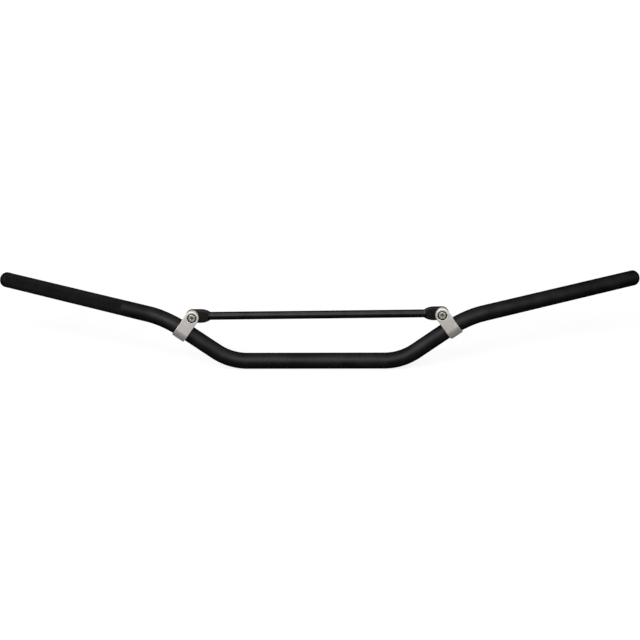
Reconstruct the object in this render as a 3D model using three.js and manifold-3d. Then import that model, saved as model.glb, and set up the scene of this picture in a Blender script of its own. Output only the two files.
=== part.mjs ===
// A wide motorcycle handlebar with a bolted crossbar, built as the separate pieces it comes apart into.
// Millimetres, +Z up. The origin is the middle of the straight centre section, where a fork clamp holds it.
// +X runs along the bar to the right, +Y points to the rear, where the grip arms sweep.
import * as THREE from 'three';
import { mergeVertices } from 'three/addons/utils/BufferGeometryUtils.js';
import Module from 'manifold-3d';

const wasm = await Module();
wasm.setup();

// Bar tube
const tubeDiameter = 22.2;
const tubeWall = 4;
const lowerCornerOut = 118; // middle of the bar to the corner of a lower bend
const upperCornerOut = 205; // middle of the bar to the corner of an upper bend
const upperCornerRise = 61; // centre section up to the corner of an upper bend
const armLength = 290.6; // corner of an upper bend to the cut end of the tube
const armSweepAngle = THREE.MathUtils.degToRad(31.6); // rearwards, seen from above
const armRiseAngle = THREE.MathUtils.degToRad(3.4); // above level
const bendRadius = 76; // of the tube's centreline, the same in all four bends
const boreChamfer = 0.8; // inner edge of the tube's cut ends

// End plugs, pressed into the tube's ends
const plugDomeHeight = 8.4;
const plugCollarLength = 1.6; // straight rim under the dome
const plugCrownRadius = 2.5; // small flat in the middle of the dome
const plugRibHeight = 0.8;
const plugRibWidth = 2.4;
const plugRibPitch = 6;
const plugRibCount = 4;
const plugTipLength = 2; // inner end of the spigot, past the ribs
const plugTipTaper = 1.2;

// Crossbar clamps
const clampPastBend = 4.5; // start of an upper bend to the middle of its clamp
const crossbarShift = 2.8; // how far both clamps sit to the right of the even position
const clampWall = 2.6; // of the strap that goes under the tube
const clampSideWall = 2.8; // beside the counterbore
const clampCornerCut = 1.5; // chamfer on the strap's bottom corners
const rearEarThickness = 3.4;
const rearEarRadius = 7.2; // round top of the rear ear, about the screw
const rearShoulderHeight = 5; // tube's axis up to where the clamp's rear narrows to its ear
const counterboreClearance = 0.5; // all round the washer
const counterboreDepth = 6.4;

// Clamp screw, washer and lock nut
const screwDiameter = 6;
const screwLength = 25; // under the head
const screwPointChamfer = 0.9;
const screwHeadOverhang = 2; // past the shank, all round
const screwHeadHeight = 4;
const screwHeadChamfer = 0.5;
const keyAcrossFlats = 4;
const keyDepth = 2.4;
const washerOverhang = 1; // past the screw's head, all round
const washerThickness = 1.2;
const nutHeight = 6;
const nutRimWall = 0.4; // outside the nylon ring
const nutChamfer = 0.6;
const nutRingWall = 1; // nylon locking ring
const nutRingThickness = 1.6;

// Crossbar, one forged bar with a flat eye at each end
const crossbarDiameter = 11;
const eyeWidth = 19;
const eyeFlatDepth = 1.5; // how deep each face of an eye is pressed into the round bar
const eyeTubeClearance = 3; // eye to the bar tube under it
const eyeOverhang = 1.6; // straight-sided stretch of an eye, past the clamp's side
const eyeTaperLength = 13.3; // from there down to the round bar, like the small end of an egg
const eyeNoseSetback = 10.2; // start of the taper to where the round bar rises out of the flat
const eyeNoseLength = 1.4;

// Fits
const seatGap = 0.3; // between pieces that rest on each other
const cutOverrun = 2; // how far a cutting shape runs past what it cuts

// Smoothness, in counts and angles
const tubeSides = 36;
const boreSides = 18;
const bendStepAngle = THREE.MathUtils.degToRad(4.4);
const roundSides = 36;
const smallSides = 24;
const arcSteps = 7;

// Sizes that follow from those above
const tubeRadius = tubeDiameter / 2;
const boreRadius = tubeRadius - tubeWall;
const spigotLength = plugRibCount * plugRibPitch + plugTipLength;
const crossbarRadius = crossbarDiameter / 2;
const eyeRadius = eyeWidth / 2;
const eyeThickness = crossbarDiameter - 2 * eyeFlatDepth;
const screwHoleRadius = screwDiameter / 2 + seatGap;
const screwHeadRadius = screwDiameter / 2 + screwHeadOverhang;
const washerRadius = screwHeadRadius + washerOverhang;
const nutRingRadius = screwHoleRadius + nutRingWall;
const nutAcrossFlats = 2 * (nutRingRadius + seatGap + nutRimWall);
const counterboreRadius = washerRadius + counterboreClearance;
const clampWidth = 2 * (counterboreRadius + clampSideWall); // along the tube
const strapRadius = tubeRadius + seatGap + clampWall; // also the tube's axis to the flat front
const screwHeight = tubeRadius + eyeTubeClearance + eyeRadius; // over the axis of the tube
const earRadius = clampWidth / 2; // round top of the front ear, about the screw
const earTop = screwHeight + earRadius;
const slotHalfWidth = eyeThickness / 2 + seatGap;
const eyeShoulder = clampWidth / 2 + eyeOverhang; // this and the next two are counted from the screw
const eyeTaperEnd = eyeShoulder + eyeTaperLength;
const eyeNoseStart = eyeShoulder + eyeNoseSetback;
// Distances in front of the crossbar's axis, and behind it for the nut
const counterboreFloor = strapRadius - counterboreDepth;
const washerBack = counterboreFloor + seatGap;
const headBack = washerBack + washerThickness + seatGap;
const headFront = headBack + screwHeadHeight;
const rearEarBack = slotHalfWidth + rearEarThickness;
const nutFront = rearEarBack + seatGap;
const nutRear = nutFront + nutHeight;

// Finishes
const satinBlack = new THREE.MeshStandardMaterial({ color: 0x1d1c1e, roughness: 0.46, metalness: 0.3 });
const blackPlastic = new THREE.MeshStandardMaterial({ color: 0x19191a, roughness: 0.6, metalness: 0 });
const silverAluminium = new THREE.MeshStandardMaterial({ color: 0xc9c6bf, roughness: 0.4, metalness: 0.9 });
const zincSteel = new THREE.MeshStandardMaterial({ color: 0xb9b4ac, roughness: 0.35, metalness: 1 });
const blackSteel = new THREE.MeshStandardMaterial({ color: 0x1b1b1b, roughness: 0.5, metalness: 0.9 });
const nylon = new THREE.MeshStandardMaterial({ color: 0xe4e2da, roughness: 0.55, metalness: 0 });

// Turns a closed geometry into a solid, with shared corners and its faces pointing out
function solidOf(source) {
  const loose = source.clone();
  loose.deleteAttribute('normal');
  loose.deleteAttribute('uv');
  const merged = mergeVertices(loose);
  const corners = merged.getAttribute('position');
  const index = merged.getIndex().array;
  const kept = [];
  for (let i = 0; i < index.length; i += 3) {
    const [a, b, c] = [index[i], index[i + 1], index[i + 2]];
    if (a !== b && b !== c && c !== a) kept.push(a, b, c);
  }
  const [a, b, c] = [new THREE.Vector3(), new THREE.Vector3(), new THREE.Vector3()];
  let volume = 0;
  for (let i = 0; i < kept.length; i += 3) {
    a.fromBufferAttribute(corners, kept[i]);
    b.fromBufferAttribute(corners, kept[i + 1]);
    c.fromBufferAttribute(corners, kept[i + 2]);
    volume += a.dot(b.cross(c));
  }
  if (volume < 0) kept.reverse();
  return new wasm.Manifold(new wasm.Mesh({
    numProp: 3,
    vertProperties: new Float32Array(corners.array),
    triVerts: new Uint32Array(kept),
  }));
}

function geometryOf(solid) {
  const { numProp, vertProperties, triVerts } = solid.getMesh();
  const positions = new Float32Array(triVerts.length * 3);
  triVerts.forEach((corner, i) => {
    positions.set(vertProperties.subarray(corner * numProp, corner * numProp + 3), i * 3);
  });
  const geometry = new THREE.BufferGeometry();
  geometry.setAttribute('position', new THREE.BufferAttribute(positions, 3));
  geometry.computeVertexNormals();
  return geometry;
}

function meshOf(name, solid, material) {
  const mesh = new THREE.Mesh(geometryOf(solid), material);
  mesh.name = name;
  return mesh;
}

// A solid of revolution about Y, from [radius, height] pairs that start and end on the axis
function turned(profile, sides) {
  return solidOf(new THREE.LatheGeometry(profile.map(([r, y]) => new THREE.Vector2(r, y)), sides));
}

// A straight round cutter along Y, between two heights
function roundCutter(radius, from, to, sides) {
  return turned([[0, from], [radius, from], [radius, to], [0, to]], sides);
}

function boxBetween(low, high) {
  const size = new THREE.Vector3().subVectors(high, low);
  const box = new THREE.BoxGeometry(size.x, size.y, size.z);
  const middle = new THREE.Vector3().addVectors(low, high).divideScalar(2);
  return solidOf(box.translate(middle.x, middle.y, middle.z));
}

// A prism along Y with a flat-sided outline, two of its sides facing up and down
function hexPrism(acrossFlats, from, to) {
  const outline = new THREE.Shape();
  const cornerRadius = acrossFlats / Math.sqrt(3);
  const points = [];
  for (let i = 0; i < 6; i += 1) {
    const turn = (i * Math.PI) / 3;
    points.push(new THREE.Vector2(cornerRadius * Math.cos(turn), cornerRadius * Math.sin(turn)));
  }
  outline.setFromPoints(points);
  const prism = new THREE.ExtrudeGeometry(outline, { depth: to - from, bevelEnabled: false });
  return solidOf(prism.rotateX(Math.PI / 2).translate(0, to, 0));
}

// The bar's centreline: straights joined by arcs, with one step for each straight
class BarCentreline extends THREE.Curve {
  constructor(corners) {
    super();
    this.stations = [];
    const last = corners.length - 1;
    const direction = (from, to) => new THREE.Vector3().subVectors(to, from).normalize();
    this.stations.push({ point: corners[0], tangent: direction(corners[0], corners[1]) });
    for (let i = 1; i < last; i += 1) {
      const into = direction(corners[i - 1], corners[i]);
      const outOf = direction(corners[i], corners[i + 1]);
      this.addBend(corners[i], into, outOf);
    }
    this.stations.push({ point: corners[last], tangent: direction(corners[last - 1], corners[last]) });
    this.steps = this.stations.length - 1;
  }

  addBend(corner, into, outOf) {
    const turn = into.angleTo(outOf);
    const reach = bendRadius * Math.tan(turn / 2);
    const start = corner.clone().addScaledVector(into, -reach);
    const inward = outOf.clone().addScaledVector(into, -into.dot(outOf)).normalize();
    const steps = Math.ceil(turn / bendStepAngle);
    for (let i = 0; i <= steps; i += 1) {
      const angle = (turn * i) / steps;
      const point = start.clone()
        .addScaledVector(into, bendRadius * Math.sin(angle))
        .addScaledVector(inward, bendRadius * (1 - Math.cos(angle)));
      const tangent = into.clone().multiplyScalar(Math.cos(angle)).addScaledVector(inward, Math.sin(angle));
      this.stations.push({ point, tangent });
    }
  }

  getPoint(t, target = new THREE.Vector3()) {
    return target.copy(this.stations[Math.round(t * this.steps)].point);
  }

  getPointAt(u, target) {
    return this.getPoint(u, target);
  }

  getTangent(t, target = new THREE.Vector3()) {
    return target.copy(this.stations[Math.round(t * this.steps)].tangent);
  }

  getTangentAt(u, target) {
    return this.getTangent(u, target);
  }
}

const riseAngle = Math.atan2(upperCornerRise, upperCornerOut - lowerCornerOut);
const riseDirection = new THREE.Vector3(Math.cos(riseAngle), 0, Math.sin(riseAngle));
const armDirection = new THREE.Vector3(
  Math.cos(armSweepAngle) * Math.cos(armRiseAngle),
  Math.sin(armSweepAngle) * Math.cos(armRiseAngle),
  Math.sin(armRiseAngle),
);

// side is 1 on the right and -1 on the left
const mirrored = (vector, side) => new THREE.Vector3(vector.x * side, vector.y, vector.z);
const lowerCorner = new THREE.Vector3(lowerCornerOut, 0, 0);
const upperCorner = new THREE.Vector3(upperCornerOut, 0, upperCornerRise);
const tubeEnd = upperCorner.clone().addScaledVector(armDirection, armLength);
const upperBendStart = upperCorner.clone()
  .addScaledVector(riseDirection, -bendRadius * Math.tan(riseDirection.angleTo(armDirection) / 2));
const rightHalf = [lowerCorner, upperCorner, tubeEnd];
const centreline = new BarCentreline([
  ...rightHalf.map((corner) => mirrored(corner, -1)).reverse(),
  ...rightHalf,
]);

function circlePoints(radius, sides) {
  const points = [];
  for (let i = 0; i < sides; i += 1) {
    const turn = (i * 2 * Math.PI) / sides;
    points.push(new THREE.Vector2(radius * Math.cos(turn), radius * Math.sin(turn)));
  }
  return points;
}

// A round section carried along the whole centreline, solid or with a bore
function sweptAlongBar(radius, hole) {
  const section = new THREE.Shape(circlePoints(radius, tubeSides));
  if (hole) section.holes.push(new THREE.Path(circlePoints(hole, boreSides).reverse()));
  return new THREE.ExtrudeGeometry(section, { steps: centreline.steps, extrudePath: centreline });
}

function turnTowards(object, direction) {
  object.quaternion.setFromUnitVectors(new THREE.Vector3(0, 1, 0), direction);
}

function barTube() {
  let solid = solidOf(sweptAlongBar(tubeRadius, boreRadius));
  for (const side of [-1, 1]) {
    const cone = new THREE.Object3D();
    turnTowards(cone, mirrored(armDirection, side));
    cone.position.copy(mirrored(tubeEnd, side));
    cone.updateMatrix();
    const lip = boreRadius + boreChamfer;
    const cutter = turned([[0, -lip], [lip + cutOverrun, cutOverrun], [0, cutOverrun]], boreSides * 2);
    solid = solid.subtract(cutter.transform(cone.matrix.elements));
  }
  return meshOf('bar_tube', solid, satinBlack);
}

// Domed head on a ribbed spigot; the head's underside is at height zero
function endPlug(side) {
  const sideName = side < 0 ? 'left' : 'right';
  const ribRadius = boreRadius - seatGap;
  const coreRadius = ribRadius - plugRibHeight;
  const profile = [[0, -spigotLength], [coreRadius - plugTipTaper, -spigotLength]];
  for (let i = plugRibCount - 1; i >= 0; i -= 1) {
    const top = -plugRibPitch * i - plugRibWidth;
    const bottom = top - plugRibWidth;
    profile.push([coreRadius, bottom]);
    profile.push([ribRadius, bottom + plugRibWidth / 2]);
    profile.push([ribRadius, top]);
    profile.push([coreRadius, top]);
  }
  profile.push([coreRadius, 0], [tubeRadius, 0], [tubeRadius, plugCollarLength]);
  const domeRadius = tubeRadius - plugCrownRadius;
  for (let i = 1; i <= arcSteps; i += 1) {
    const angle = ((i / arcSteps) * Math.PI) / 2;
    const across = plugCrownRadius + domeRadius * Math.cos(angle);
    profile.push([across, plugCollarLength + plugDomeHeight * Math.sin(angle)]);
  }
  profile.push([0, plugCollarLength + plugDomeHeight]);
  const plug = meshOf(`${sideName}_end_plug`, turned(profile, roundSides), blackPlastic);
  const outwards = mirrored(armDirection, side);
  turnTowards(plug, outwards);
  plug.position.copy(mirrored(tubeEnd, side)).addScaledVector(outwards, seatGap);
  return plug;
}

// Where a clamp sits: the middle of its bore, on the axis of the rise
function clampPlace(side) {
  const past = clampPastBend + side * crossbarShift;
  const place = new THREE.Object3D();
  place.position.copy(mirrored(upperBendStart.clone().addScaledVector(riseDirection, past), side));
  place.rotation.y = -side * riseAngle;
  place.updateMatrix();
  return place;
}

// The screw's axis crosses the crossbar's axis here
function screwPoint(side) {
  return new THREE.Vector3(0, 0, screwHeight).applyMatrix4(clampPlace(side).matrix);
}

// Seen along the tube: a flat front, a strap round the tube's back, and the thin rear ear over it
function clampSideView() {
  const top = earTop + cutOverrun;
  const outline = new THREE.Shape();
  const sweep = Math.PI + Math.acos(rearEarBack / strapRadius);
  const steps = Math.ceil((sweep * roundSides) / (2 * Math.PI));
  outline.moveTo(top, -strapRadius);
  outline.lineTo(0, -strapRadius);
  for (let i = 1; i <= steps; i += 1) {
    const turn = -Math.PI / 2 - (sweep * i) / steps;
    outline.lineTo(strapRadius * Math.cos(turn), strapRadius * Math.sin(turn));
  }
  outline.lineTo(top, rearEarBack);
  const block = new THREE.ExtrudeGeometry(outline, { depth: clampWidth, bevelEnabled: false });
  // the outline's first axis becomes up and its second becomes the rear
  block.translate(0, 0, -clampWidth / 2).rotateY(-Math.PI / 2);
  return solidOf(block);
}

// Seen from the front: straight sides, a full round top about the screw, small bottom chamfers
function clampFrontView() {
  const half = clampWidth / 2;
  const bottom = -strapRadius - cutOverrun;
  const outline = new THREE.Shape();
  outline.moveTo(-half + clampCornerCut + cutOverrun, bottom);
  outline.lineTo(half - clampCornerCut - cutOverrun, bottom);
  outline.lineTo(half, -strapRadius + clampCornerCut);
  outline.lineTo(half, screwHeight);
  for (let i = 1; i < roundSides / 2; i += 1) {
    const turn = (2 * Math.PI * i) / roundSides;
    outline.lineTo(earRadius * Math.cos(turn), screwHeight + earRadius * Math.sin(turn));
  }
  outline.lineTo(-half, screwHeight);
  outline.lineTo(-half, -strapRadius + clampCornerCut);
  const depth = 2 * (strapRadius + cutOverrun);
  const block = new THREE.ExtrudeGeometry(outline, { depth, bevelEnabled: false });
  return solidOf(block.rotateX(Math.PI / 2).translate(0, depth / 2, 0));
}

// What is cut away round the rear ear, which has sloping shoulders and a round top
function rearEarTrim() {
  const half = clampWidth / 2;
  const shoulderTop = rearShoulderHeight + half - rearEarRadius;
  const outline = new THREE.Shape();
  outline.moveTo(-half, 0);
  outline.lineTo(-half, rearShoulderHeight);
  outline.lineTo(-rearEarRadius, shoulderTop);
  for (let i = 0; i <= roundSides / 2; i += 1) {
    const turn = Math.PI - (2 * Math.PI * i) / roundSides;
    outline.lineTo(rearEarRadius * Math.cos(turn), screwHeight + rearEarRadius * Math.sin(turn));
  }
  outline.lineTo(rearEarRadius, shoulderTop);
  outline.lineTo(half, rearShoulderHeight);
  outline.lineTo(half, 0);
  const depth = strapRadius + cutOverrun;
  const ear = new THREE.ExtrudeGeometry(outline, { depth, bevelEnabled: false });
  const around = boxBetween(
    new THREE.Vector3(-half - cutOverrun, 0, rearShoulderHeight),
    new THREE.Vector3(half + cutOverrun, depth, earTop + cutOverrun),
  );
  return around.subtract(solidOf(ear.rotateX(Math.PI / 2).translate(0, depth, 0)));
}

function clamp(side) {
  const sideName = side < 0 ? 'left' : 'right';
  const place = clampPlace(side);
  const half = clampWidth / 2 + cutOverrun;
  const outside = strapRadius + cutOverrun;
  const bore = sweptAlongBar(tubeRadius + seatGap).applyMatrix4(place.matrix.clone().invert());
  const slot = boxBetween(
    new THREE.Vector3(-half, -slotHalfWidth, 0),
    new THREE.Vector3(half, slotHalfWidth, earTop + cutOverrun),
  );
  const atScrew = (solid) => solid.translate([0, 0, screwHeight]);
  const cuts = [
    roundCutter(screwHoleRadius, -outside, outside, smallSides),
    roundCutter(counterboreRadius, -outside, -counterboreFloor, roundSides),
  ];
  let solid = clampSideView().intersect(clampFrontView()).subtract(rearEarTrim());
  solid = solid.subtract(solidOf(bore)).subtract(slot);
  for (const cut of cuts) solid = solid.subtract(atScrew(cut));
  return meshOf(`${sideName}_clamp`, solid, silverAluminium);
}

// The pieces below lie along Y, with the crossbar's axis at height zero and the head to the front
function clampScrew(sideName) {
  const shankRadius = screwDiameter / 2;
  const point = screwLength - headBack;
  const body = turned([
    [0, -headFront],
    [screwHeadRadius - screwHeadChamfer, -headFront],
    [screwHeadRadius, screwHeadChamfer - headFront],
    [screwHeadRadius, -headBack],
    [shankRadius, -headBack],
    [shankRadius, point - screwPointChamfer],
    [shankRadius - screwPointChamfer, point],
    [0, point],
  ], roundSides);
  const socket = hexPrism(keyAcrossFlats, -headFront - cutOverrun, keyDepth - headFront);
  return meshOf(`${sideName}_clamp_screw`, body.subtract(socket), zincSteel);
}

function washer(sideName) {
  const disc = roundCutter(washerRadius, -washerBack - washerThickness, -washerBack, roundSides);
  const hole = roundCutter(screwHoleRadius, -headFront, 0, smallSides);
  return meshOf(`${sideName}_washer`, disc.subtract(hole), blackSteel);
}

function lockNut(sideName) {
  const cornerRadius = nutAcrossFlats / Math.sqrt(3);
  const outside = nutRear + cutOverrun;
  const recessFloor = nutRear - nutRingThickness - seatGap;
  const rounding = turned([
    [0, nutFront],
    [cornerRadius - nutChamfer, nutFront],
    [cornerRadius, nutFront + nutChamfer],
    [cornerRadius, nutRear - nutChamfer],
    [cornerRadius - nutChamfer, nutRear],
    [0, nutRear],
  ], roundSides);
  const solid = hexPrism(nutAcrossFlats, nutFront, nutRear)
    .intersect(rounding)
    .subtract(roundCutter(screwHoleRadius, nutFront - cutOverrun, outside, smallSides))
    .subtract(roundCutter(nutRingRadius + seatGap, recessFloor, outside, smallSides));
  return meshOf(`${sideName}_lock_nut`, solid, zincSteel);
}

function nutRing(sideName) {
  const solid = roundCutter(nutRingRadius, nutRear - nutRingThickness, nutRear, smallSides)
    .subtract(roundCutter(screwHoleRadius, nutFront, nutRear + cutOverrun, smallSides));
  return meshOf(`${sideName}_nut_ring`, solid, nylon);
}

function clampAssembly(side) {
  const sideName = side < 0 ? 'left' : 'right';
  const assembly = new THREE.Group();
  const place = clampPlace(side);
  assembly.position.copy(place.position);
  assembly.rotation.copy(place.rotation);
  assembly.add(clamp(side));
  for (const make of [clampScrew, washer, lockNut, nutRing]) {
    const piece = make(sideName);
    piece.position.z = screwHeight;
    assembly.add(piece);
  }
  return assembly;
}

// The round bar with a bulb at each end, before its flats are pressed
function crossbarBlank(span) {
  const profile = [[0, -eyeRadius]];
  for (let i = 1; i <= arcSteps; i += 1) {
    const angle = ((i / arcSteps) * Math.PI) / 2;
    profile.push([eyeRadius * Math.sin(angle), -eyeRadius * Math.cos(angle)]);
  }
  const barAngle = Math.acos(crossbarRadius / eyeRadius);
  const reach = eyeTaperLength / Math.sin(barAngle);
  const steps = arcSteps * 2;
  for (let i = 0; i <= steps; i += 1) {
    const angle = (barAngle * i) / steps;
    profile.push([eyeRadius * Math.cos(angle), eyeShoulder + reach * Math.sin(angle)]);
  }
  const farEnd = profile.map(([r, y]) => [r, span - y]).reverse();
  return turned([...profile, ...farEnd], roundSides);
}

// What is pressed away on both faces of an eye: all but the nose of the round bar
function eyeFlats() {
  const wide = eyeRadius + cutOverrun;
  // the nose is a cone that breaks through the flat at its start
  const noseTip = eyeNoseStart - (eyeNoseLength * eyeThickness) / (2 * eyeFlatDepth);
  const nose = turned([
    [0, noseTip],
    [crossbarRadius, eyeNoseStart + eyeNoseLength],
    [crossbarRadius, eyeTaperEnd + cutOverrun],
    [0, eyeTaperEnd + cutOverrun],
  ], roundSides);
  const cutters = [-1, 1].map((face) => {
    const near = (face * eyeThickness) / 2;
    const far = face * wide;
    return boxBetween(
      new THREE.Vector3(-wide, -wide, Math.min(near, far)),
      new THREE.Vector3(wide, eyeTaperEnd, Math.max(near, far)),
    ).subtract(nose);
  });
  return cutters[0].add(cutters[1]);
}

function crossbar() {
  const left = screwPoint(-1);
  const right = screwPoint(1);
  const span = left.distanceTo(right);
  const flats = eyeFlats();
  // the bore for the screw runs across the flats
  const hole = roundCutter(screwHoleRadius, -eyeThickness, eyeThickness, smallSides).rotate([90, 0, 0]);
  const farEnd = (solid) => solid.rotate([180, 0, 0]).translate([0, span, 0]);
  const solid = crossbarBlank(span)
    .subtract(flats)
    .subtract(farEnd(flats))
    .subtract(hole)
    .subtract(farEnd(hole));
  const mesh = meshOf('crossbar', solid, satinBlack);
  // laid along X with its flats facing front and rear, then tilted to meet both screws
  mesh.geometry.rotateZ(-Math.PI / 2).rotateX(Math.PI / 2);
  mesh.position.copy(left);
  mesh.rotation.y = -Math.atan2(right.z - left.z, right.x - left.x);
  return mesh;
}

const handlebar = new THREE.Group();
handlebar.add(barTube(), endPlug(-1), endPlug(1), clampAssembly(-1), clampAssembly(1), crossbar());

export default handlebar;
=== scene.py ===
"""Dresses the packed handlebar: fine meshes, procedural finishes, a pale studio and the camera."""

import math

import bmesh
import bpy
from bpy.props import FloatProperty, FloatVectorProperty, IntProperty, PointerProperty
from mathutils import Matrix, Vector


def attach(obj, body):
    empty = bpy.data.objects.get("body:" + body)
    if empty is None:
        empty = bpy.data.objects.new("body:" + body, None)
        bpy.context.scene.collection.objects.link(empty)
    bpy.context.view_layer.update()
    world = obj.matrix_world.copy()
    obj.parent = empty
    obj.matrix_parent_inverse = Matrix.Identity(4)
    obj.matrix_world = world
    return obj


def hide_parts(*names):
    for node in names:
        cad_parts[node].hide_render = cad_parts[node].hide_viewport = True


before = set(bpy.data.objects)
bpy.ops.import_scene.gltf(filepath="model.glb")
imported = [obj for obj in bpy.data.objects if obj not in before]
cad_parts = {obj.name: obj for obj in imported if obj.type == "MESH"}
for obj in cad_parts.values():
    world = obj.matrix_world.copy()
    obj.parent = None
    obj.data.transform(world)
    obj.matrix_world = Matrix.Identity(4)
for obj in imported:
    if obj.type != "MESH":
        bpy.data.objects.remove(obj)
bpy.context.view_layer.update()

bl_info = {
    "name": "Motorcycle handlebar",
    "version": (1, 0, 0),
    "blender": (4, 5, 0),
    "location": "3D View > Sidebar > Handlebar",
    "description": "Builds a bent handlebar with a bolted crossbar, its finishes and its studio",
    "category": "Object",
}

SIDES = {"left": -1, "right": 1}
TOUCH = 1e-7  # points closer than this are one point
FLAT = 1e-4  # a sine under this counts as this
SHARP = math.radians(35)  # edges that turn more than this stay sharp
FINE_SHARP = math.radians(28)  # the same for threads and nuts
ROUND_PROFILE = 0.5  # shape of a bevel that is part of a circle
ROUND_MIDDLE = 0.3  # middle point of a rounding that has three points


def length(name, description, default):
    return FloatProperty(name=name, description=description, default=default, subtype="DISTANCE",
                         unit="LENGTH", precision=5)


def angle(name, description, degrees):
    return FloatProperty(name=name, description=description, default=math.radians(degrees),
                         subtype="ANGLE", unit="ROTATION")


def share(name, description, default):
    return FloatProperty(name=name, description=description, default=default, min=0, max=1,
                         subtype="FACTOR")


def colour(name, description, default):
    return FloatVectorProperty(name=name, description=description, default=default, size=3,
                               min=0, max=1, subtype="COLOR")


def point(name, description, default):
    return FloatVectorProperty(name=name, description=description, default=default, size=3,
                               subtype="TRANSLATION", unit="LENGTH")


def count(name, description, default):
    return IntProperty(name=name, description=description, default=default, min=1)


class BarSizes(bpy.types.PropertyGroup):
    """Sizes of the bent tube"""

    diameter: length("Diameter", "Outside of the tube", 0.0222)
    wall: length("Wall", "Thickness of the tube's wall", 0.004)
    lower_out: length("Lower corner out", "Middle of the bar to a lower bend's corner", 0.118)
    upper_out: length("Upper corner out", "Middle of the bar to an upper bend's corner", 0.205)
    rise: length("Rise", "Centre section up to an upper bend's corner", 0.061)
    arm: length("Arm", "Corner of an upper bend to the cut end", 0.2906)
    arm_sweep: angle("Arm sweep", "Rearward turn of the arms, seen from above", 31.6)
    arm_rise: angle("Arm rise", "Slope of the arms above level", 3.4)
    bend_radius: length("Bend radius", "Radius of the centreline in all four bends", 0.076)
    bend_step: angle("Bend step", "Turn between two rings of a bend", 1.5)
    lip: length("Lip", "Chamfer on the bore's mouth", 0.0008)
    end_round: length("End round", "Rounding of the cut ends' outer edge", 0.0004)
    sides: count("Sides", "Points round the tube; an even number", 116)
    knurl_start: length("Knurl start", "Cut end to the knurled band", 0.003)
    knurl_length: length("Knurl length", "Knurled band on the left arm", 0.2169)
    knurl_depth: length("Knurl depth", "Depth of the grooves", 0.0003)


class PlugSizes(bpy.types.PropertyGroup):
    """Sizes of the two end plugs"""

    dome: length("Dome", "Height of the dome over its collar", 0.0084)
    dome_steps: count("Dome steps", "Rings of the dome", 28)
    collar: length("Collar", "Straight rim under the dome", 0.0016)
    crown: length("Crown", "Radius of the small flat on the dome", 0.0025)
    gate: share("Gate", "Gate mark, as a share of the crown", 0.62)
    gate_floor: share("Gate floor", "Its floor, as a share of the crown", 0.5)
    edge: length("Edge", "Rounding under the collar", 0.0003)
    rib_height: length("Rib height", "How far the ribs stand out", 0.0008)
    rib_width: length("Rib width", "Width of a rib's top", 0.0024)
    rib_pitch: length("Rib pitch", "Rib to rib", 0.006)
    rib_count: count("Ribs", "Number of ribs", 4)
    tip: length("Tip", "End of the spigot past the ribs", 0.002)
    tip_taper: length("Tip taper", "How much the spigot's end narrows", 0.0012)


class ClampSizes(bpy.types.PropertyGroup):
    """Sizes and places of the two crossbar clamps"""

    past_bend: length("Past bend", "Start of an upper bend to the middle of its clamp", 0.0045)
    shift: length("Shift", "How far both clamps sit to the right of even", 0.0028)
    gap: length("Gap", "Room between pieces that rest on each other", 0.0003)
    wall: length("Wall", "Strap under the tube", 0.0026)
    width: length("Width", "Along the tube", 0.0186)
    screw_height: length("Screw height", "Tube's axis to the screw's axis", 0.0236)
    slot: length("Slot", "Room between the two ears", 0.0086)
    bore: length("Counterbore", "Diameter of the hole for the screw's head", 0.013)
    bore_depth: length("Counterbore depth", "Front face to its floor", 0.0064)
    corner_cut: length("Corner cut", "Chamfer on the strap's bottom corners", 0.0015)
    rear_back: length("Rear ear back", "Crossbar's axis back to the rear ear's face", 0.0077)
    rear_top: length("Rear ear top", "Radius of the rear ear's top, about the screw", 0.0072)
    shoulder: length("Shoulder", "Tube's axis up to where the rear narrows to its ear", 0.005)
    arc_step: angle("Arc step", "Turn between two points of the round back", 4)
    arch_steps: count("Arch steps", "Facets of an ear's round top", 36)
    edge: length("Edge", "Rounding of the outer edges", 0.0006)
    edge_steps: count("Edge steps", "Facets of that rounding", 3)
    mouth: length("Mouth", "Chamfer round the counterbore", 0.0003)
    bore_near: count("Bore near", "Widths from a clamp whose bends shape its bore", 3)
    bore_reach: count("Bore reach", "Widths that its bore's cutter reaches to each side", 2)


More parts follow.
